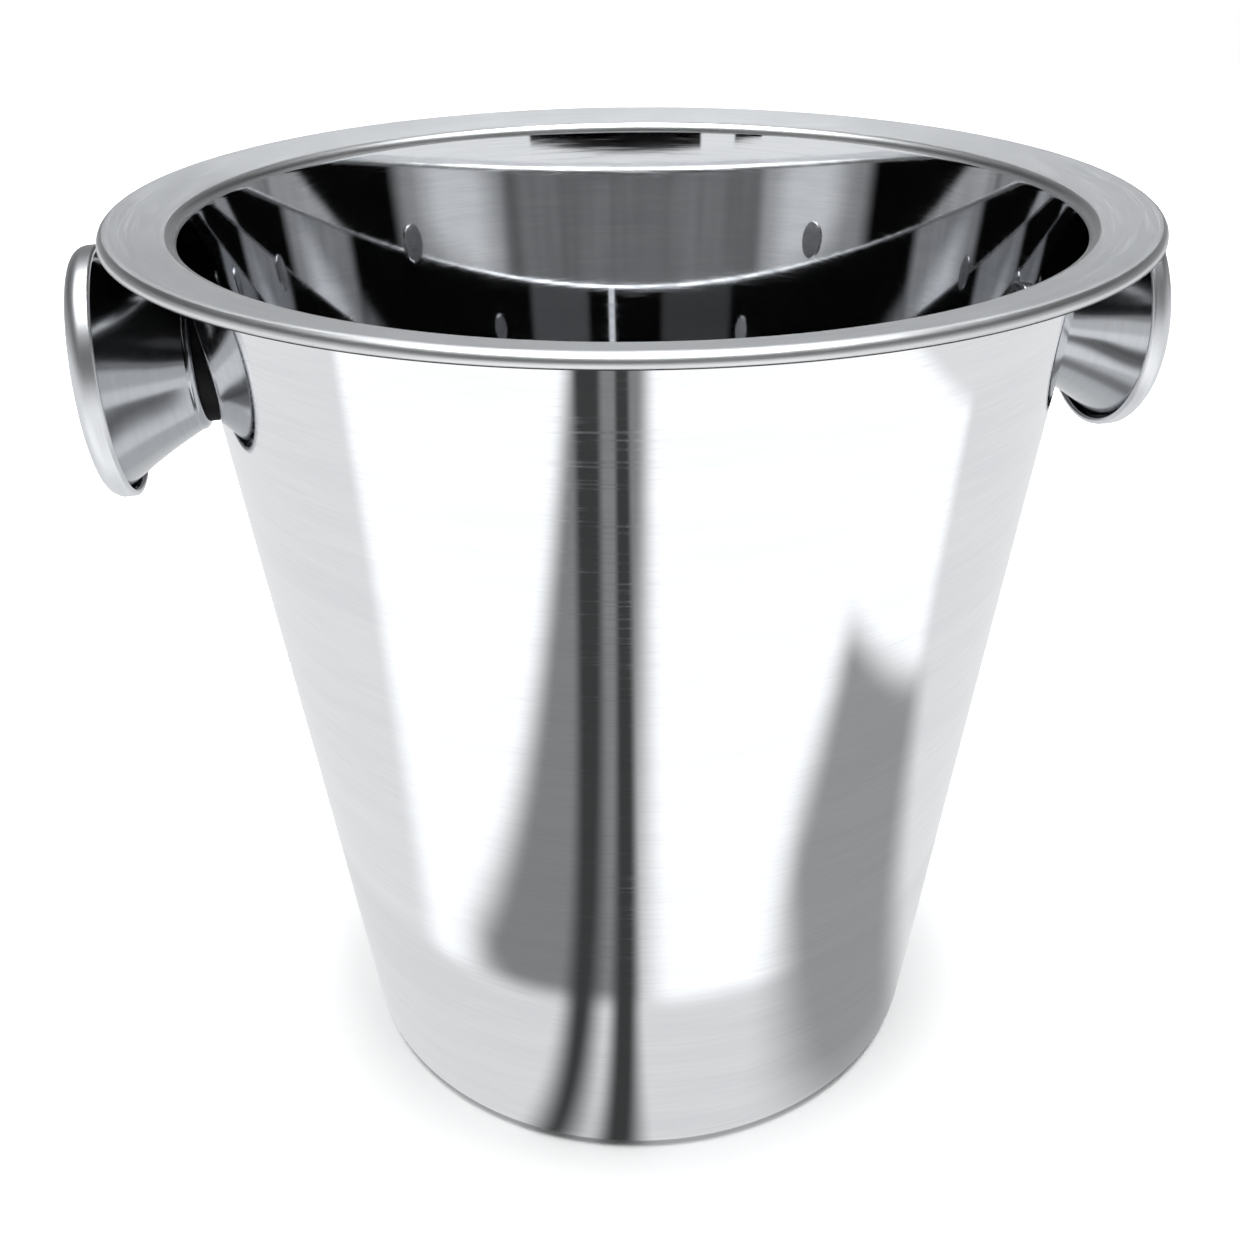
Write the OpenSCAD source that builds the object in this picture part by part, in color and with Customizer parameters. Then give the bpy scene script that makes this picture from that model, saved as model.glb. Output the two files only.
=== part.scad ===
// Champagne bucket: a tapered one-piece metal bucket with a broad flange round its mouth
// and two trumpet-shaped knob handles, each held by one rivet through the wall.
// Units are millimetres, +Z is up, the origin is the centre of the base on the table.

/* [Bucket] */
// Height from the table to the top of the flange's rolled edge
height = 206; // [196:1:240]
// Outer diameter of the wall where it would meet the table
base_d = 139; // [130:1:150]
// Outer diameter of the wall at the level of the flange
mouth_d = 193; // [185:1:198]
// Outer diameter of the flange
rim_d = 220; // [216:1:226]
// Thickness of the sheet metal
sheet = 0.8; // [0.6:0.1:1]
// Outside radius of the corner between the wall and the base
corner_r = 5; // [3:0.5:8]
// Radius of the bend under the flange
shoulder_r = 1.8; // [1.5:0.1:2.5]
// Angle by which the flange rises outwards
flange_rise = 11.5; // [8:0.5:14]
// Outer radius of the flange's rolled edge
edge_r = 2; // [1.6:0.1:2.4]
// Straight run of the rolled edge below its curve
lip_run = 0.2; // [0.1:0.1:2]
// Width of the flat ring that the bucket stands on
ring_w = 8; // [5:0.5:16]
// Height by which the middle of the base stands clear of the table
panel_rise = 1.6; // [1:0.1:3]

/* [Knobs] */
// Depth below the top of the bucket at which each knob's axis meets the wall
knob_drop = 32; // [32:0.5:60]
// Downward tilt of each knob's axis
knob_tilt = 3; // [3:0.5:7]
// Diameter of the cap
cap_d = 53.4; // [52:0.2:54]
// Distance from the wall to the cap's back edge
cap_back = 18.3; // [18:0.1:22]
// Depth of the cap from its back edge to the edge of its face
cap_depth = 5.5; // [5.2:0.1:7]
// Rounding of the cap's front edge
cap_edge_r = 3.2; // [2:0.1:3.2]
// Height of the dome on the cap's face
cap_dome = 0.8; // [0.4:0.1:1.5]
// Diameter of the cone at the wall
cone_small_d = 28.6; // [27:0.2:30]
// Diameter of the cone's wide end
cone_large_d = 49; // [44:0.2:49]
// Rounding of the cone's small end
cone_end_r = 1.8; // [1:0.1:2]

/* [Fixings] */
// Diameter of the rivet's shank
rivet_d = 5; // [4:0.5:6]
// Diameter of the rivet's flat head inside the bucket
rivet_head_d = 14; // [12:0.2:16]
// Thickness of that head on the axis
rivet_head_t = 1.2; // [1:0.1:1.6]
// Diameter of the rivet's set end inside the knob
rivet_set_d = 8.6; // [8:0.1:9.4]
// Height of the set end
rivet_set_h = 2; // [1.6:0.1:2.6]
// Thickness of the rubber gasket between the knob and the wall, on the axis
gasket_t = 1.5; // [1.5:0.1:2]
// Diameter of that gasket
gasket_d = 25.4; // [22:0.2:26]
// Thickness of the washer under the set end
washer_t = 1; // [0.8:0.1:1.4]
// Diameter of the washer
washer_d = 13; // [11:0.5:15]

/* [Hidden] */

LEFT = 180;
RIGHT = 0;
STEEL = "silver";
SATIN = "gainsboro";
RUBBER = "#1c1c1e";
$fn = 96;

// Facets of the cones that shape the rubber faces, so fine that they lie on the round wall
fine = 720;

// Wall of the bucket: its slope, its lean from the vertical and its radii
slope = (mouth_d - base_d) / 2 / height;
lean = atan(slope);
function wall_r(z) = base_d / 2 + slope * z;
across = sheet / cos(lean);

// Flange: its rolled edge, and the bend whose outside is tangent to the wall and the flange
rim_r = rim_d / 2;
edge_x = rim_r - edge_r;
edge_z = height - edge_r;
turn = 90 + flange_rise;
lip_end_r = sheet / 2;
lip_end_z = edge_z - lip_run;
bend_out = shoulder_r / cos(lean);
off_x = edge_x + (edge_r - sheet - shoulder_r) * cos(turn);
off_z = edge_z + (edge_r - sheet - shoulder_r) * sin(turn);
off_rise = (base_d / 2 + bend_out - off_x) * tan(flange_rise);
bend_z = (off_z + off_rise) / (1 - slope * tan(flange_rise));
bend_x = wall_r(bend_z) + bend_out;

// Base: the corner, the ring that it stands on and the step up to the panel
corner_x = wall_r(corner_r) - corner_r / cos(lean);
step_w = 5;
step_points = 8;
panel_r = corner_x - ring_w - step_w;

// Knob: distances along its axis, measured outwards from the wall
knob_z = height - knob_drop;
wall_out = wall_r(knob_z);
cone_start = gasket_t;
cap_front = cap_back + cap_depth;
cap_r = cap_d / 2;
cap_sheet = 0.8;
hem = 0.6;
hem_h = 1.2;
skirt_end = cap_front - cap_edge_r;
face_r = cap_r - cap_edge_r;
dome_r = (face_r * face_r + cap_dome * cap_dome) / (2 * cap_dome);
cone_small_r = cone_small_d / 2;
cone_large_r = cone_large_d / 2;
cone_sheet = 0.8;
collar_in = 1.7;
collar_gap = 1.1;
cone_full = cap_back + collar_in;
cone_stop = cap_front - collar_gap;
cone_sag = 0.5;
cone_points = 10;

// Fixings: the hole, and the rivet from its head inside the bucket to its set end in the knob
hole_gap = 0.1;
hole_r = rivet_d / 2 + hole_gap;
head_face = -across - rivet_head_t;
head_edge_r = 0.5;
washer_start = cone_start + cone_sheet;
set_start = washer_start + washer_t;
set_edge_r = 1.2;
reach = 8;

// Points on an arc round [cx, cy] from angle a0 to angle a1
function arc(cx, cy, r, a0, a1, n = 12) =
    [for (i = [0 : n]) let (a = a0 + (a1 - a0) * i / n) [cx + r * cos(a), cy + r * sin(a)]];

// Height of the base at radius r: flat on the ring, raised in the middle
function base_rise(r) =
    let (u = (panel_r + step_w - r) / step_w)
    panel_rise * (1 - cos(180 * min(max(u, 0), 1))) / 2;

// The base from its panel out to the ring, as points at a level above the table
function base_line(level) =
    [for (i = [0 : step_points])
        let (r = panel_r + step_w * i / step_points)
        [r, level + base_rise(r)]];

// A list of points, last to first
function reversed(points) = [for (i = [len(points) - 1 : -1 : 0]) points[i]];

// Outline of the bucket's sheet: down its outside, then up its inside
module shell_outline() {
    outside = concat(
        [[0, panel_rise]],
        base_line(0),
        arc(corner_x, corner_r, corner_r, -90, -lean),
        arc(bend_x, bend_z, shoulder_r, 180 - lean, turn),
        arc(edge_x, edge_z, edge_r - sheet, turn, 0));
    lip_end = arc(rim_r - lip_end_r, lip_end_z, lip_end_r, -180, 0, 8);
    inside = concat(
        arc(edge_x, edge_z, edge_r, 0, turn),
        arc(bend_x, bend_z, shoulder_r + sheet, turn, 180 - lean),
        arc(corner_x, corner_r, corner_r - sheet, -lean, -90),
        reversed(base_line(sheet)),
        [[0, panel_rise + sheet]]);
    polygon(concat(outside, lip_end, inside));
}

// Places a knob's parts: +Z runs outwards along the knob's axis from the wall
module at_knob(side) {
    rotate([0, 0, side])
        translate([wall_out, 0, knob_z])
            rotate([0, 90 + knob_tilt, 0])
                children();
}

// Solid inside the wall's outer face
module outer_cone() {
    cylinder(h = height, r1 = wall_r(0), r2 = wall_r(height), $fn = fine);
}

// Solid inside the wall's inner face
module inner_cone() {
    cylinder(h = height, r1 = wall_r(0) - across, r2 = wall_r(height) - across, $fn = fine);
}

// Round hole along a knob's axis, from one distance to another
module axis_hole(r, from, to) {
    translate([0, 0, from])
        cylinder(h = to - from, r = r);
}

module bucket_shell() {
    color(STEEL)
        difference() {
            rotate_extrude()
                shell_outline();
            at_knob(LEFT)
                axis_hole(hole_r, -reach, reach);
            at_knob(RIGHT)
                axis_hole(hole_r, -reach, reach);
        }
}

// Spun cone of the knob, with a flat end at the wall and a short collar inside the cap
module knob_cone(side) {
    rise = cone_full - cone_start - cone_end_r;
    spread = cone_large_r - cone_small_r;
    flare = [for (i = [0 : cone_points])
        let (u = i / cone_points)
        [cone_small_r + spread * u - cone_sag * sin(180 * u), cone_start + cone_end_r + rise * u]];
    end = arc(cone_small_r - cone_end_r, cone_start + cone_end_r, cone_end_r, -90, 0, 6);
    inner_end_r = cone_end_r - cone_sheet;
    inner_end = arc(cone_small_r - cone_end_r, cone_start + cone_end_r, inner_end_r, -90, 0, 6);
    outside = concat([[hole_r, cone_start]], end, flare, [[cone_large_r, cone_stop]]);
    inside = concat(
        [[hole_r, cone_start + cone_sheet]],
        inner_end,
        [for (p = flare) [p.x - cone_sheet, p.y]],
        [[cone_large_r - cone_sheet, cone_stop]]);
    color(STEEL)
        at_knob(side)
            rotate_extrude()
                polygon(concat(outside, reversed(inside)));
}

// Cap of the knob: a shallow domed face, a rounded edge and a skirt hemmed at its back
module knob_cap(side) {
    dome_z = cap_front + cap_dome - dome_r;
    dome_edge = asin(face_r / dome_r);
    hem_r = (cap_sheet + hem) / 2;
    outside = concat(
        arc(0, dome_z, dome_r, 90, 90 - dome_edge, 8),
        arc(face_r, skirt_end, cap_edge_r, 90 - dome_edge, 0, 10),
        arc(cap_r - hem_r, cap_back + hem_r, hem_r, 0, -180, 10));
    inside = concat(
        [[cap_r - cap_sheet - hem, cap_back + hem_h], [cap_r - cap_sheet, cap_back + hem_h + hem]],
        arc(face_r, skirt_end, cap_edge_r - cap_sheet, 0, 90 - dome_edge, 10),
        arc(0, dome_z, dome_r - cap_sheet, 90 - dome_edge, 90, 8));
    color(STEEL)
        at_knob(side)
            rotate_extrude()
                polygon(concat(outside, inside));
}

// Rubber gasket that fills the wedge between the flat end of the cone and the wall
module knob_gasket(side) {
    color(RUBBER)
        difference() {
            at_knob(side)
                translate([0, 0, -reach])
                    cylinder(h = reach + gasket_t, d = gasket_d);
            outer_cone();
            at_knob(side)
                axis_hole(hole_r, -2 * reach, reach);
        }
}

// Washer on the inside of the cone's flat end
module knob_washer(side) {
    color(STEEL)
        at_knob(side)
            difference() {
                translate([0, 0, washer_start])
                    cylinder(h = washer_t, d = washer_d);
                axis_hole(hole_r, washer_start - 1, set_start + 1);
            }
}

// Rivet: a flat head bedded on the inside of the wall, a plain shank and a rounded set end
module knob_rivet(side) {
    head_r = rivet_head_d / 2;
    set_r = rivet_set_d / 2;
    head = concat(
        [[0, head_face]],
        arc(head_r - head_edge_r, head_face + head_edge_r, head_edge_r, -90, 0, 6),
        [[head_r, reach], [0, reach]]);
    set_end = concat(
        [[0, set_start], [set_r, set_start]],
        arc(set_r - set_edge_r, set_start + rivet_set_h - set_edge_r, set_edge_r, 0, 90, 8),
        [[0, set_start + rivet_set_h]]);
    color(SATIN)
        union() {
            intersection() {
                at_knob(side)
                    rotate_extrude()
                        polygon(head);
                inner_cone();
            }
            at_knob(side)
                translate([0, 0, head_face / 2])
                    cylinder(h = set_start - head_face / 2, d = rivet_d);
            at_knob(side)
                rotate_extrude()
                    polygon(set_end);
        }
}

bucket_shell();
knob_cone(LEFT);  // left_knob_cone
knob_cap(LEFT);  // left_knob_cap
knob_gasket(LEFT);  // left_knob_gasket
knob_washer(LEFT);  // left_knob_washer
knob_rivet(LEFT);  // left_knob_rivet
knob_cone(RIGHT);  // right_knob_cone
knob_cap(RIGHT);  // right_knob_cap
knob_gasket(RIGHT);  // right_knob_gasket
knob_washer(RIGHT);  // right_knob_washer
knob_rivet(RIGHT);  // right_knob_rivet
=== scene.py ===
"""Looks for the champagne bucket: smooth spun meshes, metal finishes, studio, camera."""
import math

import bpy
from mathutils import Matrix, Vector


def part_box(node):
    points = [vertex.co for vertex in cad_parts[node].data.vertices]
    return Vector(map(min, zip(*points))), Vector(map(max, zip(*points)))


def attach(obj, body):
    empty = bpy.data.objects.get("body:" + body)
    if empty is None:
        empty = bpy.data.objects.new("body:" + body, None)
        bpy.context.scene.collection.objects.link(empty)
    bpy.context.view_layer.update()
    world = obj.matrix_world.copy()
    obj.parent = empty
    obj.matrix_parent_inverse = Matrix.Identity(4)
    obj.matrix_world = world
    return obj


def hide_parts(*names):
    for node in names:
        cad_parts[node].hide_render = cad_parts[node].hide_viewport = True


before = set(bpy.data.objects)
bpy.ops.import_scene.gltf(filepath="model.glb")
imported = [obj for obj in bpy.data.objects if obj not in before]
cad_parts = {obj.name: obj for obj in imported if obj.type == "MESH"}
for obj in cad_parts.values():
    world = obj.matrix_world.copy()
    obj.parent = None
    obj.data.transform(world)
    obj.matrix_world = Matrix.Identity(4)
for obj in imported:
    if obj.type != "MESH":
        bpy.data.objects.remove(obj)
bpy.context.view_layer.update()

MM = 0.001
TAU = 2 * math.pi

# ---------------------------------------------------------------- sizes, in millimetres
SHELL_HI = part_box("bucket_shell")[1] / MM
HEIGHT = SHELL_HI.z
RIM_R = min(SHELL_HI.x, SHELL_HI.y)
BASE_R = 69.5
MOUTH_R = 96.5
SHEET = 0.8
SLOPE = (MOUTH_R - BASE_R) / HEIGHT
LEAN = math.atan(SLOPE)
CORNER_R = 5.0
SHOULDER_R = 1.8
FLANGE_RISE = math.radians(11.5)
EDGE_R = 2.0
LIP_RUN = 0.2
RING_W = 8.0
PANEL_RISE = 1.6
PANEL_STEP = 5.0
SATIN_ROLL = math.radians(35)
SHARP_EDGE = math.radians(24)
SHELL_TURNS = 360
KNOB_TURNS = 256
SAME_POINT = 1e-6

KNOB_Z = 174.0
KNOB_TILT = math.radians(3)
CAP_R = 26.7
CAP_BACK = 18.3
CAP_FRONT = 23.8
CAP_EDGE_R = 3.2
CAP_DOME = 0.8
CAP_SHEET = 0.8
HEM = 0.6
HEM_H = 1.2
CONE_START = 1.5
CONE_END_R = 1.8
CONE_SMALL_R = 14.3
CONE_LARGE_R = 24.5
CONE_FULL = 20.0
CONE_STOP = 22.7
CONE_SAG = 0.5
CONE_SHEET = 0.8
HOLE_R = 2.6


def wall_r(z):
    return BASE_R + SLOPE * z


# ---------------------------------------------------------------- lathe
def arc(cx, cy, r, a0, a1, n):
    """Points on an arc from angle a0 to a1, in radians."""
    return [(cx + r * math.cos(a0 + (a1 - a0) * i / n),
             cy + r * math.sin(a0 + (a1 - a0) * i / n)) for i in range(n + 1)]


def lathe(name, sections, turns, place):
    """Spins sections, a list of (points, slot) with points in mm, into one smooth mesh.

    The mesh is made in place. Its attribute "spun" keeps the shape's own coordinates, with
    the lathe's axis along Z, for the finishes."""
    verts, faces, slots, rings = [], [], [], []
    last = None
    for points, slot_index in sections:
        for r, z in points:
            if last and math.hypot(r - last[0], z - last[1]) < SAME_POINT:
                continue
            start = len(verts)
            if r < SAME_POINT:
                verts.append(Vector((0, 0, z * MM)))
                rings.append((start, 1))
            else:
                for k in range(turns):
                    a = TAU * k / turns
                    verts.append(Vector((r * math.cos(a), r * math.sin(a), z)) * MM)
                rings.append((start, turns))
            if len(rings) > 1:
                (s0, n0), (s1, n1) = rings[-2:]
                for k in range(turns):
                    j = (k + 1) % turns
                    if n0 == 1:
                        faces.append((s0, s1 + k, s1 + j))
                    elif n1 == 1:
                        faces.append((s0 + k, s1, s0 + j))
                    else:
                        faces.append((s0 + k, s1 + k, s1 + j, s0 + j))
                    slots.append(slot_index)
            last = (r, z)
    if rings[0][1] > 1 and math.hypot(points[-1][0] - sections[0][0][0][0],
                                      points[-1][1] - sections[0][0][0][1]) < SAME_POINT:
        # closed outline: join its last ring to its first
        first, end = rings[0][0], rings[-1][0]
        faces = [tuple(first + i - end if i >= end else i for i in face) for face in faces]
        verts = verts[:end]
    outline = [point for points, _ in sections for point in points]
    area = sum(r0 * z1 - r1 * z0 for (r0, z0), (r1, z1) in zip(outline, outline[1:] + outline[:1]))
    if area > 0:
        # an anticlockwise outline would leave the faces looking inwards
        faces = [face[::-1] for face in faces]
    mesh = bpy.data.meshes.new(name)
    mesh.from_pydata([place @ v for v in verts], [], faces)
    spun = mesh.attributes.new("spun", "FLOAT_VECTOR", "POINT")
    spun.data.foreach_set("vector", [c for v in verts for c in v])
    mesh.polygons.foreach_set("use_smooth", [True] * len(faces))
    mesh.polygons.foreach_set("material_index", slots)
    mesh.set_sharp_from_angle(angle=SHARP_EDGE)
    mesh.update()
    piece = bpy.data.objects.new(name, mesh)
    bpy.context.scene.collection.objects.link(piece)
    return piece


# ---------------------------------------------------------------- node helpers
class Nodes:
    """Short calls for building a node tree."""

    def __init__(self, tree):
        self.tree = tree
        self.nodes = tree.nodes
        self.links = tree.links

    def add(self, kind, **values):
        node = self.nodes.new(kind)
        for key, value in values.items():
            setattr(node, key, value)
        return node

    def put(self, socket, value):
        if isinstance(value, bpy.types.NodeSocket):
            self.links.new(value, socket)
        else:
            socket.default_value = value

    def math(self, op, a, b=None, c=None):
        node = self.add("ShaderNodeMath", operation=op)
        for socket, value in zip(node.inputs, (a, b, c)):
            if value is not None:
                self.put(socket, value)
        return node.outputs[0]

    def step(self, value, low, high):
        """0 below low, 1 above high, smooth between them."""
        node = self.add("ShaderNodeMapRange", interpolation_type="SMOOTHSTEP")
        for socket, v in zip(node.inputs[:5], (value, low, high, 0.0, 1.0)):
            self.put(socket, v)
        return node.outputs[0]

    def band(self, value, low, high, soft):
        """1 between low and high, 0 outside, over an edge of width soft."""
        up = self.step(value, low - soft / 2, low + soft / 2)
        down = self.step(value, high + soft / 2, high - soft / 2)
        return self.math("MULTIPLY", up, down)

    def blend(self, a, b, amount):
        """a where amount is 0, b where it is 1."""
        node = self.add("ShaderNodeMix", data_type="FLOAT")
        self.put(node.inputs[0], amount)
        self.put(node.inputs[2], a)
        self.put(node.inputs[3], b)
        return node.outputs[0]

    def tint(self, a, b, amount):
        node = self.add("ShaderNodeMix", data_type="RGBA")
        self.put(node.inputs[0], amount)
        self.put(node.inputs[6], a)
        self.put(node.inputs[7], b)
        return node.outputs[2]

    def noise(self, vector, scale, detail=2.0, rough=0.5):
        node = self.add("ShaderNodeTexNoise")
        self.put(node.inputs["Vector"], vector)
        node.inputs["Scale"].default_value = scale
        node.inputs["Detail"].default_value = detail
        node.inputs["Roughness"].default_value = rough
        return node.outputs["Fac"]

    def vector(self, x, y, z):
        node = self.add("ShaderNodeCombineXYZ")
        for socket, v in zip(node.inputs, (x, y, z)):
            self.put(socket, v)
        return node.outputs[0]


def new_material(name):
    material = bpy.data.materials.new(name)
    material.use_nodes = True
    material.node_tree.nodes.clear()
    n = Nodes(material.node_tree)
    out = n.add("ShaderNodeOutputMaterial")
    shader = n.add("ShaderNodeBsdfPrincipled")
    n.links.new(shader.outputs[0], out.inputs[0])
    return material, n, shader


def spun_metal(name, light, dark, rough, rough_spread, lines, bump, grain=1.0):
    """Metal finished on a lathe: fine lines round the axis, faint clouds and specks.

    light and dark are colours, lines is how many fine lines there are to a millimetre,
    and bump is how deep they are, in metres."""
    material, n, shader = new_material(name)
    coords = n.add("ShaderNodeAttribute", attribute_name="spun").outputs["Vector"]
    split = n.add("ShaderNodeSeparateXYZ")
    n.links.new(coords, split.inputs[0])
    x, y, z = split.outputs
    radius = n.math("SQRT", n.math("ADD", n.math("MULTIPLY", x, x), n.math("MULTIPLY", y, y)))
    along = n.math("ADD", radius, z)
    across = n.math("MULTIPLY", along, lines * 1000)
    fine = n.noise(n.vector(n.math("MULTIPLY", x, 60.0), n.math("MULTIPLY", y, 60.0), across),
                   1.0, 3.0, 0.6)
    broad = n.noise(n.vector(n.math("MULTIPLY", x, 14.0), n.math("MULTIPLY", y, 14.0),
                             n.math("MULTIPLY", across, 0.09)), 1.0, 2.0, 0.5)
    clouds = n.noise(coords, 22.0 * grain, 3.0, 0.55)
    mixed = n.math("ADD", n.math("MULTIPLY", fine, 0.55), n.math("MULTIPLY", broad, 0.45))
    n.put(shader.inputs["Base Color"], n.tint(light, dark, n.step(mixed, 0.32, 0.68)))
    shader.inputs["Metallic"].default_value = 1.0
    worn = n.math("ADD", n.math("MULTIPLY", n.step(fine, 0.46, 0.74), 0.75),
                  n.math("MULTIPLY", n.step(clouds, 0.35, 0.7), 0.25))
    n.put(shader.inputs["Roughness"],
          n.math("ADD", n.math("MULTIPLY", worn, rough_spread), rough))
    relief = n.add("ShaderNodeBump")
    relief.inputs["Strength"].default_value = 1.0
    relief.inputs["Distance"].default_value = bump
    n.put(relief.inputs["Height"], mixed)
    n.links.new(relief.outputs[0], shader.inputs["Normal"])
    return material


def dull_metal(name, light, dark):
    """Metal left as the press made it: grainy, with small dents and no lines."""
    material, n, shader = new_material(name)
    coords = n.add("ShaderNodeTexCoord").outputs["Object"]
    grain = n.noise(coords, 2600.0, 3.0, 0.6)
    clouds = n.noise(coords, 240.0, 3.0, 0.55)
    n.put(shader.inputs["Base Color"], n.tint(light, dark, n.step(clouds, 0.3, 0.7)))
    shader.inputs["Metallic"].default_value = 1.0
    n.put(shader.inputs["Roughness"], n.math("ADD", n.math("MULTIPLY", grain, 0.16), 0.2))
    relief = n.add("ShaderNodeBump")
    relief.inputs["Strength"].default_value = 0.5
    relief.inputs["Distance"].default_value = 0.00003
    n.put(relief.inputs["Height"], n.math("ADD", grain, n.math("MULTIPLY", clouds, 2.0)))
    n.links.new(relief.outputs[0], shader.inputs["Normal"])
    return material


def rubber(name):
    material, n, shader = new_material(name)
    coords = n.add("ShaderNodeTexCoord").outputs["Object"]
    grain = n.noise(coords, 1400.0, 3.0, 0.6)
    clouds = n.noise(coords, 130.0, 2.0, 0.5)
    n.put(shader.inputs["Base Color"],
          n.tint((0.004, 0.004, 0.005, 1), (0.012, 0.012, 0.013, 1), n.step(clouds, 0.3, 0.7)))
    n.put(shader.inputs["Roughness"], n.math("ADD", n.math("MULTIPLY", grain, 0.25), 0.5))
    shader.inputs["Specular IOR Level"].default_value = 0.05
    relief = n.add("ShaderNodeBump")
    relief.inputs["Strength"].default_value = 0.6
    relief.inputs["Distance"].default_value = 0.00006
    n.put(relief.inputs["Height"], grain)
    n.links.new(relief.outputs[0], shader.inputs["Normal"])
    return material


# ---------------------------------------------------------------- materials
MIRROR = spun_metal("polished_steel", (0.86, 0.865, 0.875, 1), (0.80, 0.805, 0.82, 1),
                    rough=0.02, rough_spread=0.13, lines=1.5, bump=0.0000007)
INSIDE = spun_metal("polished_inside", (0.84, 0.845, 0.86, 1), (0.77, 0.78, 0.80, 1),
                    rough=0.02, rough_spread=0.04, lines=1.5, bump=0.000001)
SATIN = spun_metal("satin_flange", (0.88, 0.89, 0.905, 1), (0.82, 0.83, 0.85, 1),
                   rough=0.50, rough_spread=0.12, lines=2.0, bump=0.000002)
ROLL = spun_metal("soft_roll", (0.92, 0.925, 0.93, 1), (0.86, 0.87, 0.88, 1),
                  rough=0.36, rough_spread=0.06, lines=2.0, bump=0.000001)
KNOB = spun_metal("polished_knob", (0.50, 0.51, 0.53, 1), (0.46, 0.47, 0.49, 1),
                  rough=0.14, rough_spread=0.03, lines=2.2, bump=0.0000005, grain=2.0)
KNOB_EDGE = spun_metal("soft_knob_edge", (0.82, 0.825, 0.84, 1), (0.76, 0.77, 0.79, 1),
                       rough=0.38, rough_spread=0.06, lines=1.6, bump=0.000001, grain=2.0)
BASE = spun_metal("spun_base", (0.72, 0.73, 0.75, 1), (0.6, 0.61, 0.64, 1),
                  rough=0.18, rough_spread=0.14, lines=1.2, bump=0.000002)
FIXING = dull_metal("pressed_steel", (0.66, 0.67, 0.68, 1), (0.58, 0.59, 0.61, 1))
RUBBER = rubber("black_rubber")

# ---------------------------------------------------------------- bucket shell
quarter = math.pi / 2
turn = quarter + FLANGE_RISE
edge_x = RIM_R - EDGE_R
edge_z = HEIGHT - EDGE_R
lip_end_r = SHEET / 2
lip_end_z = edge_z - LIP_RUN
bend_off = SHOULDER_R / math.cos(LEAN)
off_x = edge_x + (EDGE_R - SHEET - SHOULDER_R) * math.cos(turn)
off_z = edge_z + (EDGE_R - SHEET - SHOULDER_R) * math.sin(turn)
off_rise = (BASE_R + bend_off - off_x) * math.tan(FLANGE_RISE)
bend_z = (off_z + off_rise) / (1 - SLOPE * math.tan(FLANGE_RISE))
bend_x = wall_r(bend_z) + bend_off
corner_x = wall_r(CORNER_R) - CORNER_R / math.cos(LEAN)
PANEL_R = corner_x - RING_W - PANEL_STEP


def base_line(level, n):
    """The base at a level above the table, from the middle to the ring that it stands on."""
    points = [(PANEL_R * i / 8, level + PANEL_RISE) for i in range(8)]
    for i in range(n + 1):
        rise = PANEL_RISE * (1 + math.cos(math.pi * i / n)) / 2
        points.append((PANEL_R + PANEL_STEP * i / n, level + rise))
    return points


under_base = base_line(0, 20)
corner_out = arc(corner_x, CORNER_R, CORNER_R, -quarter, -LEAN, 24)
bend_out = arc(bend_x, bend_z, SHOULDER_R, math.pi - LEAN, turn, 16)
lip_under = arc(edge_x, edge_z, EDGE_R - SHEET, turn, 0, 14)
lip_end = arc(RIM_R - lip_end_r, lip_end_z, lip_end_r, -math.pi, 0, 16)
edge_out = arc(edge_x, edge_z, EDGE_R, 0, turn - SATIN_ROLL, 24)
edge_satin = arc(edge_x, edge_z, EDGE_R, turn - SATIN_ROLL, turn, 12)
bend_in = arc(bend_x, bend_z, SHOULDER_R + SHEET, turn, math.pi - LEAN, 24)
corner_in = arc(corner_x, CORNER_R, CORNER_R - SHEET, -LEAN, -quarter, 24)
floor_in = list(reversed(base_line(SHEET, 20)))


def divided(a, b, n):
    """Points from a to b, with two more close to the ends to keep the shading flat."""
    near = 0.02
    steps = [0, near / n] + [i / n for i in range(1, n)] + [1 - near / n, 1]
    return [(a[0] + (b[0] - a[0]) * u, a[1] + (b[1] - a[1]) * u) for u in steps]


MIRROR_SLOT, INSIDE_SLOT, SATIN_SLOT, BASE_SLOT, ROLL_SLOT = range(5)
shell_sections = [
    (under_base + [corner_out[0]], BASE_SLOT),
    (corner_out, MIRROR_SLOT),
    (divided(corner_out[-1], bend_out[0], 8), MIRROR_SLOT),
    (bend_out, MIRROR_SLOT),
    (divided(bend_out[-1], lip_under[0], 6), MIRROR_SLOT),
    (lip_under, MIRROR_SLOT),
    (divided(lip_under[-1], lip_end[0], 3), ROLL_SLOT),
    (lip_end, ROLL_SLOT),
    (divided(lip_end[-1], edge_out[0], 3), ROLL_SLOT),
    (edge_out, ROLL_SLOT),
    (edge_satin, SATIN_SLOT),
    (divided(edge_satin[-1], bend_in[0], 10), SATIN_SLOT),
    (bend_in, ROLL_SLOT),
    (divided(bend_in[-1], corner_in[0], 8), INSIDE_SLOT),
    (corner_in, INSIDE_SLOT),
    ([corner_in[-1]] + floor_in, INSIDE_SLOT),
]
shell = lathe("shell_spun", shell_sections, SHELL_TURNS, Matrix.Identity(4))
for material in (MIRROR, INSIDE, SATIN, BASE, ROLL):
    shell.data.materials.append(material)
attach(shell, "root")
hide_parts("bucket_shell")

# ---------------------------------------------------------------- knobs
face_r = CAP_R - CAP_EDGE_R
skirt_end = CAP_FRONT - CAP_EDGE_R
dome_r = (face_r ** 2 + CAP_DOME ** 2) / (2 * CAP_DOME)
dome_z = CAP_FRONT + CAP_DOME - dome_r
dome_edge = math.asin(face_r / dome_r)


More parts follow.
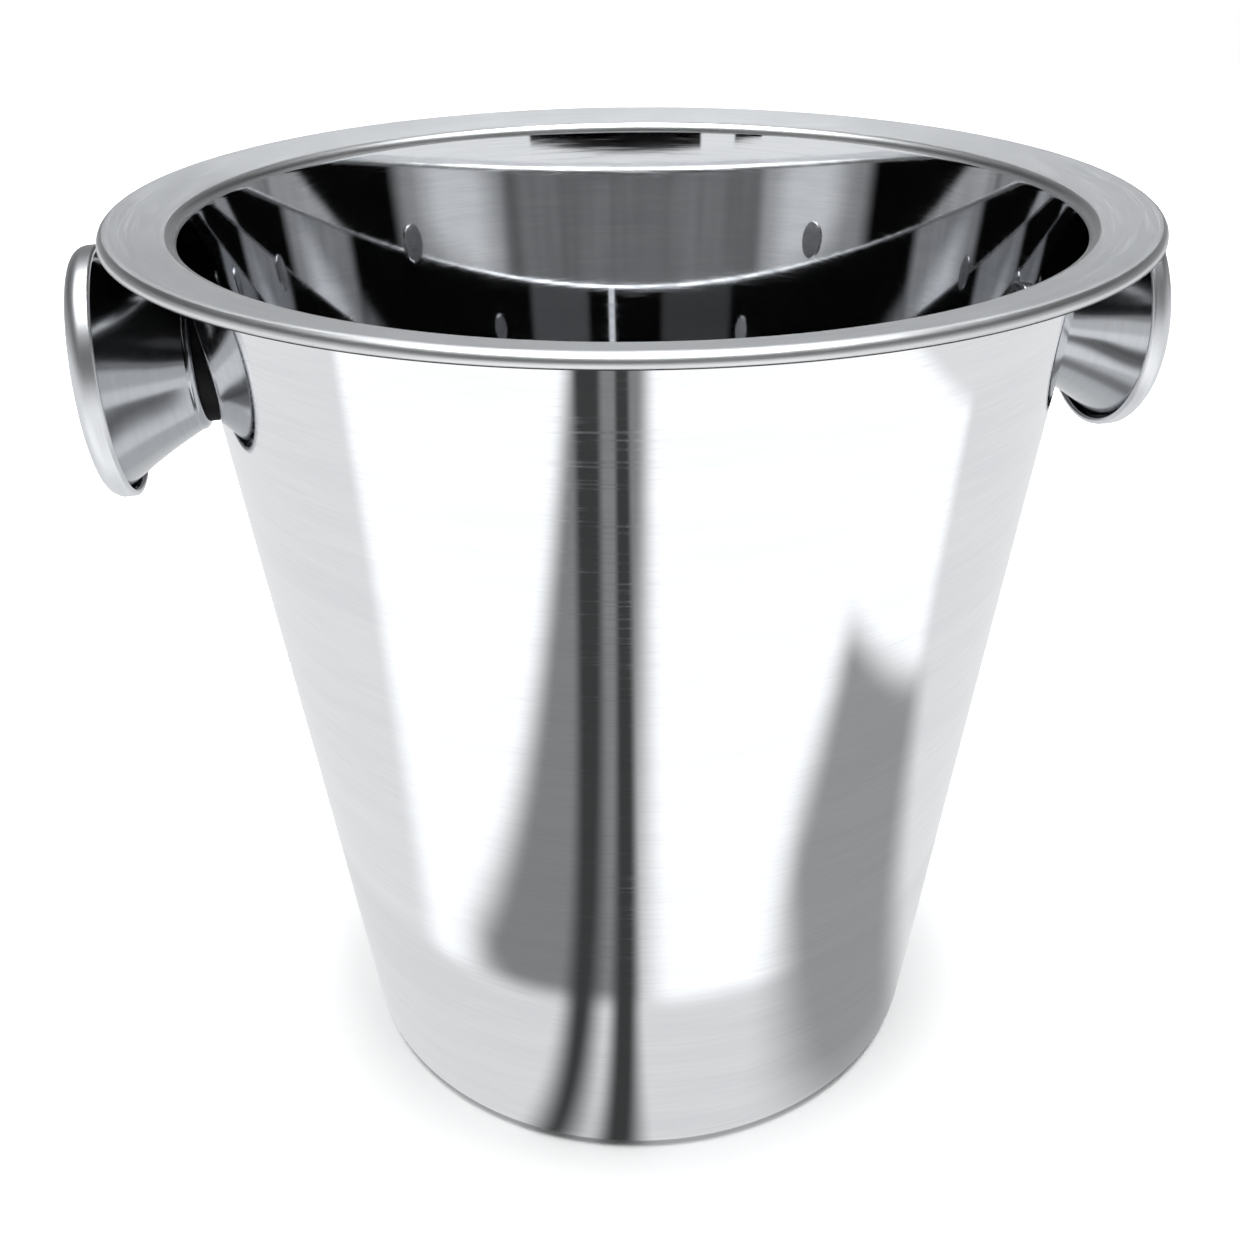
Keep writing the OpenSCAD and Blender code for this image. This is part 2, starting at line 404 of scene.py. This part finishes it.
def cone_profile():
    """The spun cone: flat end at the wall, rounded edge, flare and collar, then its inside."""
    rise = CONE_FULL - CONE_START - CONE_END_R
    spread = CONE_LARGE_R - CONE_SMALL_R
    centre = (CONE_SMALL_R - CONE_END_R, CONE_START + CONE_END_R)
    flare = []
    for i in range(25):
        u = i / 24
        flare.append((CONE_SMALL_R + spread * u - CONE_SAG * math.sin(math.pi * u),
                      CONE_START + CONE_END_R + rise * u))
    end = arc(*centre, CONE_END_R, -quarter, 0, 14)
    inner_end = arc(*centre, CONE_END_R - CONE_SHEET, 0, -quarter, 10)
    inner_flare = [(r - CONE_SHEET, z) for r, z in reversed(flare)]
    collar = (CONE_LARGE_R, CONE_STOP)
    inner_collar = (CONE_LARGE_R - CONE_SHEET, CONE_STOP)
    start = (HOLE_R, CONE_START)
    inner_start = (HOLE_R, CONE_START + CONE_SHEET)
    return [
        (divided(start, end[0], 3), 0),
        (end, 0),
        (flare, 0),
        (divided(flare[-1], collar, 3), 0),
        (divided(collar, inner_collar, 2), 0),
        (divided(inner_collar, inner_flare[0], 3), 0),
        (inner_flare, 0),
        (inner_end, 0),
        (divided(inner_end[-1], inner_start, 3), 0),
        (divided(inner_start, start, 2), 0),
    ]


def cap_profile():
    """The cap: domed face, rounded edge, skirt hemmed at its back, then its inside."""
    hem_r = (CAP_SHEET + HEM) / 2
    face = arc(0, dome_z, dome_r, quarter, quarter - dome_edge, 16)
    face[0] = (0, face[0][1])
    edge = arc(face_r, skirt_end, CAP_EDGE_R, quarter - dome_edge, 0, 24)
    roll = arc(CAP_R - hem_r, CAP_BACK + hem_r, hem_r, 0, -math.pi, 20)
    hem_top = [roll[-1], (CAP_R - CAP_SHEET - HEM, CAP_BACK + HEM_H),
               (CAP_R - CAP_SHEET, CAP_BACK + HEM_H + HEM)]
    inner_edge = arc(face_r, skirt_end, CAP_EDGE_R - CAP_SHEET, 0, quarter - dome_edge, 12)
    inner_face = arc(0, dome_z, dome_r - CAP_SHEET, quarter - dome_edge, quarter, 12)
    inner_face[-1] = (0, inner_face[-1][1])
    return [
        (face, 1),
        (edge, 1),
        (divided(edge[-1], roll[0], 3), 1),
        (roll, 1),
        (divided(hem_top[0], hem_top[1], 3), 0),
        (divided(hem_top[1], hem_top[2], 3), 0),
        (divided(hem_top[2], inner_edge[0], 3), 0),
        (inner_edge, 0),
        (inner_face, 0),
    ]


for side, heading in (("left", math.pi), ("right", 0.0)):
    place = (Matrix.Rotation(heading, 4, "Z")
             @ Matrix.Translation((wall_r(KNOB_Z) * MM, 0, KNOB_Z * MM))
             @ Matrix.Rotation(quarter + KNOB_TILT, 4, "Y"))
    for part, profile in (("cone", cone_profile()), ("cap", cap_profile())):
        piece = lathe(f"{side}_{part}_spun", profile, KNOB_TURNS, place)
        piece.data.materials.append(KNOB)
        piece.data.materials.append(KNOB_EDGE)
        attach(piece, "root")
        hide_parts(f"{side}_knob_{part}")

# ---------------------------------------------------------------- CAD nodes that stay
FINISHES = {"rivet": FIXING, "washer": FIXING, "gasket": RUBBER}
for name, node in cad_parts.items():
    for word, finish in FINISHES.items():
        if name.endswith(word):
            node.data.materials.clear()
            node.data.materials.append(finish)

# ---------------------------------------------------------------- camera
# in metres and radians, from the bucket's axis and the table
CAMERA_TURN = math.radians(9.823)
CAMERA_OUT = 0.32246
CAMERA_UP = 0.27671
CAMERA_PAN = math.radians(-10.122)
CAMERA_DOWN = math.radians(25.423)
CAMERA_ROLL = math.radians(-0.3775)
camera_data = bpy.data.cameras.new("camera")
camera_data.sensor_width = 36.0
camera_data.lens = 43.457
camera_data.shift_x = -0.01857
camera_data.shift_y = -0.06538
camera_data.clip_start = 0.01
camera_data.clip_end = 50.0
camera = bpy.data.objects.new("camera", camera_data)
bpy.context.scene.collection.objects.link(camera)
camera.location = (-CAMERA_OUT * math.sin(CAMERA_TURN), -CAMERA_OUT * math.cos(CAMERA_TURN),
                   CAMERA_UP)
camera.rotation_mode = "QUATERNION"
camera.rotation_quaternion = (
    Matrix.Rotation(CAMERA_PAN, 4, "Z")
    @ Matrix.Rotation(quarter - CAMERA_DOWN, 4, "X")
    @ Matrix.Rotation(CAMERA_ROLL, 4, "Z")).to_quaternion()
bpy.context.scene.camera = camera

# ---------------------------------------------------------------- studio
COOL_WHITE = (0.975, 0.99, 1.0, 1)
scene = bpy.context.scene
scene.view_settings.view_transform = "Standard"
scene.view_settings.look = "None"


def emitter(name, colour, strength):
    material = bpy.data.materials.new(name)
    material.use_nodes = True
    material.node_tree.nodes.clear()
    n = Nodes(material.node_tree)
    out = n.add("ShaderNodeOutputMaterial")
    glow = n.add("ShaderNodeEmission")
    glow.inputs[0].default_value = (*colour, 1)
    glow.inputs[1].default_value = strength
    n.links.new(glow.outputs[0], out.inputs[0])
    return material


def stage_mesh(name, points, faces, material):
    mesh = bpy.data.meshes.new(name)
    mesh.from_pydata(points, [], faces)
    mesh.materials.append(material)
    thing = bpy.data.objects.new(name, mesh)
    scene.collection.objects.link(thing)
    return thing


def only_in_reflections(thing):
    thing.visible_camera = False
    thing.visible_diffuse = False
    thing.visible_transmission = False
    thing.visible_volume_scatter = False
    thing.visible_shadow = False


# Floor: a pale sheet, small enough to be evenly lit
floor_material, _, floor_shader = new_material("pale_floor")
floor_shader.inputs["Base Color"].default_value = (0.95, 0.95, 0.95, 1)
floor_shader.inputs["Roughness"].default_value = 0.9
floor_shader.inputs["Specular IOR Level"].default_value = 0.0
FLOOR = 1.5
floor = stage_mesh("floor", [(-FLOOR, -FLOOR, 0), (FLOOR, -FLOOR, 0), (FLOOR, FLOOR, 0),
                             (-FLOOR, FLOOR, 0)], [(0, 1, 2, 3)], floor_material)
floor.location.z = -0.1 * MM

# Backdrop: seen by the camera only
BACK = 12.0
BACK_LOW = -0.6
segments, rows = 48, 12
points, faces = [], []
for j in range(rows + 1):
    a = BACK_LOW + (quarter - BACK_LOW) * j / rows
    for k in range(segments):
        b = TAU * k / segments
        points.append((BACK * math.cos(a) * math.cos(b), BACK * math.cos(a) * math.sin(b),
                       BACK * math.sin(a)))
for j in range(rows):
    for k in range(segments):
        m = (k + 1) % segments
        faces.append((j * segments + k, j * segments + m,
                      (j + 1) * segments + m, (j + 1) * segments + k))
backdrop = stage_mesh("backdrop", points, faces, emitter("backdrop_white", (1, 1, 1), 1.0))
backdrop.visible_diffuse = False
backdrop.visible_glossy = False
backdrop.visible_transmission = False
backdrop.visible_shadow = False

# Panorama that the metal mirrors, by direction
world = bpy.data.worlds.new("studio")
scene.world = world
world.use_nodes = True
world.node_tree.nodes.clear()
w = Nodes(world.node_tree)
direction = w.add("ShaderNodeTexCoord").outputs["Generated"]
split = w.add("ShaderNodeSeparateXYZ")
w.links.new(direction, split.inputs[0])
dx, dy, dz = split.outputs
deg = 180 / math.pi
azimuth = w.math("ADD", w.math("MULTIPLY", w.math("ARCTAN2", dx, w.math("MULTIPLY", dy, -1.0)),
                               deg), math.degrees(CAMERA_TURN))
elevation = w.math("MULTIPLY", w.math("ARCSINE", dz), deg)
aside = w.math("ABSOLUTE", azimuth)
ROOM_BLACK = 0.002
ROOM_BEHIND = 0.20
ROOM_SIDES = 0.30
SIDE_LAMP = 0.75
NEAR_GREY = 0.40
NEAR_WHITE = 0.87
BAR_BLACK = 0.0
RIGHT_GREY = 0.10
LEFT_GREY = 0.06
STRIP_WHITE = 1.0
TOP_LAMP = 8.0
glow = ROOM_BLACK
blotches = w.add("ShaderNodeTexNoise")
w.links.new(direction, blotches.inputs["Vector"])
blotches.inputs["Scale"].default_value = 5.0
blotches.inputs["Detail"].default_value = 2.0
uneven = w.math("ADD", w.math("MULTIPLY", blotches.outputs["Fac"], 0.8), 0.6)


def patch(value, amount_az, amount_el):
    """Mixes a radiance into the panorama where both amounts are 1."""
    global glow
    glow = w.blend(glow, value, w.math("MULTIPLY", amount_az, amount_el))


# grey room behind, lighter to the sides, with a lamp on each side
patch(w.math("MULTIPLY", uneven, ROOM_BEHIND), w.step(aside, 100, 118),
      w.band(elevation, -40, 18.5, 1.5))
patch(w.math("MULTIPLY", uneven, ROOM_SIDES), w.band(aside, 43, 108, 12),
      w.band(elevation, -40, 23, 5))
patch(SIDE_LAMP, w.band(aside, 60, 98, 24), w.band(elevation, 12.5, 17, 2.5))
# grey and white on the camera's side, with two black bars just above the horizon
patch(w.math("MULTIPLY", uneven, NEAR_GREY), w.step(aside, 46, 40),
      w.band(elevation, 4.8, 9.2, 0.8))
patch(NEAR_WHITE, w.step(aside, 106, 94), w.step(elevation, 5.1, 4.8))
bars = w.math("ADD", w.band(azimuth, -20, 30, 1), w.band(azimuth, -38, -30, 1))
patch(BAR_BLACK, bars, w.band(elevation, 4, 5.5, 0.2))
# higher up, a dark grey on each side and a white strip between them
patch(RIGHT_GREY, w.band(azimuth, 40, 90, 8), w.band(elevation, 24, 33, 2))
patch(LEFT_GREY, w.band(azimuth, -85, -25, 8), w.band(elevation, 24, 33, 2))
patch(STRIP_WHITE, w.band(azimuth, 17, 22, 1.0), w.band(elevation, 24, 33, 1.0))
# lamp overhead
patch(TOP_LAMP, 1.0, w.step(elevation, 64, 72))
out = w.add("ShaderNodeOutputWorld")
background = w.add("ShaderNodeBackground")
background.inputs[0].default_value = COOL_WHITE
w.put(background.inputs[1], glow)
w.links.new(background.outputs[0], out.inputs[0])

# Soft light from above for the floor and the rubber
key_data = bpy.data.lights.new("key", "AREA")
key_data.shape = "DISK"
key_data.size = 2.2
key_data.energy = 60.0
key = bpy.data.objects.new("key", key_data)
scene.collection.objects.link(key)
key.location = (0, 0, 1.8)
key.visible_glossy = False
key.visible_camera = False

# What the metal mirrors of the studio floor: a light grey table with a white sheet on it in
# front of the bucket, the camera's stand with two black legs on the sheet, a painted shadow, a
# slightly darker disc round the bucket's foot, and a grey flag on the right. Places and edge
# widths are in mm, from the bucket's axis with -Y towards the camera, and corners run
# anticlockwise.
TABLE = 0.85
SHEET_WHITE = 1.25
STAND_GREY = 0.25
LEG_BLACK = 0.05
SIDE_FLAG_GREY = 0.34
SHADE = 0.80
SHADE_R = 108
SHADE_SOFT = 8
SHEET_SOFT = 30
STAND_SOFT = 32
LEFT_LEG_SOFT = 12
RIGHT_LEG_SOFT = 8
SIDE_FLAG_SOFT = 36
WHITE_SHEET = [(-480, -900), (400, -900), (400, -20), (-100, -55), (-480, -160)]
STAND = [(-100, -420), (20, -420), (0, -80), (-85, -80)]
LEFT_LEG = [(-95, -420), (-55, -420), (-15, -60), (-25, -60)]
RIGHT_LEG = [(-30, -420), (-10, -420), (0, -60), (-10, -60)]
SIDE_FLAG = [(35, -55), (90, -115), (200, -140), (210, -25), (65, -15)]


def floor_glow(name):
    material = bpy.data.materials.new(name)
    material.use_nodes = True
    material.node_tree.nodes.clear()
    n = Nodes(material.node_tree)
    where = n.add("ShaderNodeTexCoord").outputs["Object"]
    split = n.add("ShaderNodeSeparateXYZ")
    n.links.new(where, split.inputs[0])
    x, y = split.outputs[:2]

    def within(corners, soft):
        """1 inside the corners, 0 outside, over an edge of width soft."""
        amount = 1.0
        for (x0, y0), (x1, y1) in zip(corners, corners[1:] + corners[:1]):
            run = math.hypot(x1 - x0, y1 - y0)
            nx, ny = (y0 - y1) / run, (x1 - x0) / run
            depth = n.math("ADD", n.math("MULTIPLY", x, nx / MM),
                           n.math("MULTIPLY_ADD", y, ny / MM, -(nx * x0 + ny * y0)))
            amount = n.math("MULTIPLY", amount, n.step(depth, -soft / 2, soft / 2))
        return amount

    glow = n.blend(TABLE, SHEET_WHITE, within(WHITE_SHEET, SHEET_SOFT))
    glow = n.blend(glow, STAND_GREY, within(STAND, STAND_SOFT))
    # painted shadow of the bucket: the floor's glow drops to SHADE within SHADE_R of the axis
    radius = n.math("SQRT", n.math("ADD", n.math("MULTIPLY", x, x), n.math("MULTIPLY", y, y)))
    near = n.step(radius, (SHADE_R + SHADE_SOFT / 2) * MM, (SHADE_R - SHADE_SOFT / 2) * MM)
    glow = n.blend(glow, SHADE, near)
    glow = n.blend(glow, LEG_BLACK, within(LEFT_LEG, LEFT_LEG_SOFT))
    glow = n.blend(glow, LEG_BLACK, within(RIGHT_LEG, RIGHT_LEG_SOFT))
    glow = n.blend(glow, SIDE_FLAG_GREY, within(SIDE_FLAG, SIDE_FLAG_SOFT))
    out = n.add("ShaderNodeOutputMaterial")
    shine = n.add("ShaderNodeEmission")
    shine.inputs[0].default_value = COOL_WHITE
    n.put(shine.inputs[1], glow)
    n.links.new(shine.outputs[0], out.inputs[0])
    return material


REFLECTED = 4.0
reflected = stage_mesh("reflected_floor", [(-REFLECTED, -REFLECTED, 0), (REFLECTED, -REFLECTED, 0),
                                           (REFLECTED, REFLECTED, 0), (-REFLECTED, REFLECTED, 0)],
                       [(0, 1, 2, 3)], floor_glow("reflected_floor"))
reflected.rotation_euler.z = -CAMERA_TURN
reflected.location.z = -0.05 * MM
only_in_reflections(reflected)

# Black ring just under the flange, seen only in reflections, which darkens the knobs' upper
# halves: a lighting trick, not a piece of the object
RING_TURNS = 96
RING_DROP = 3.4
points, faces = [], []
for r in (wall_r(HEIGHT) + 1, RIM_R + 2):
    for k in range(RING_TURNS):
        a = TAU * k / RING_TURNS
        points.append((r * math.cos(a) * MM, r * math.sin(a) * MM, (HEIGHT - RING_DROP) * MM))
for k in range(RING_TURNS):
    m = (k + 1) % RING_TURNS
    faces.append((k, m, RING_TURNS + m, RING_TURNS + k))
flag = stage_mesh("flag", points, faces, emitter("flag_black", (0, 0, 0), 0.0))
only_in_reflections(flag)
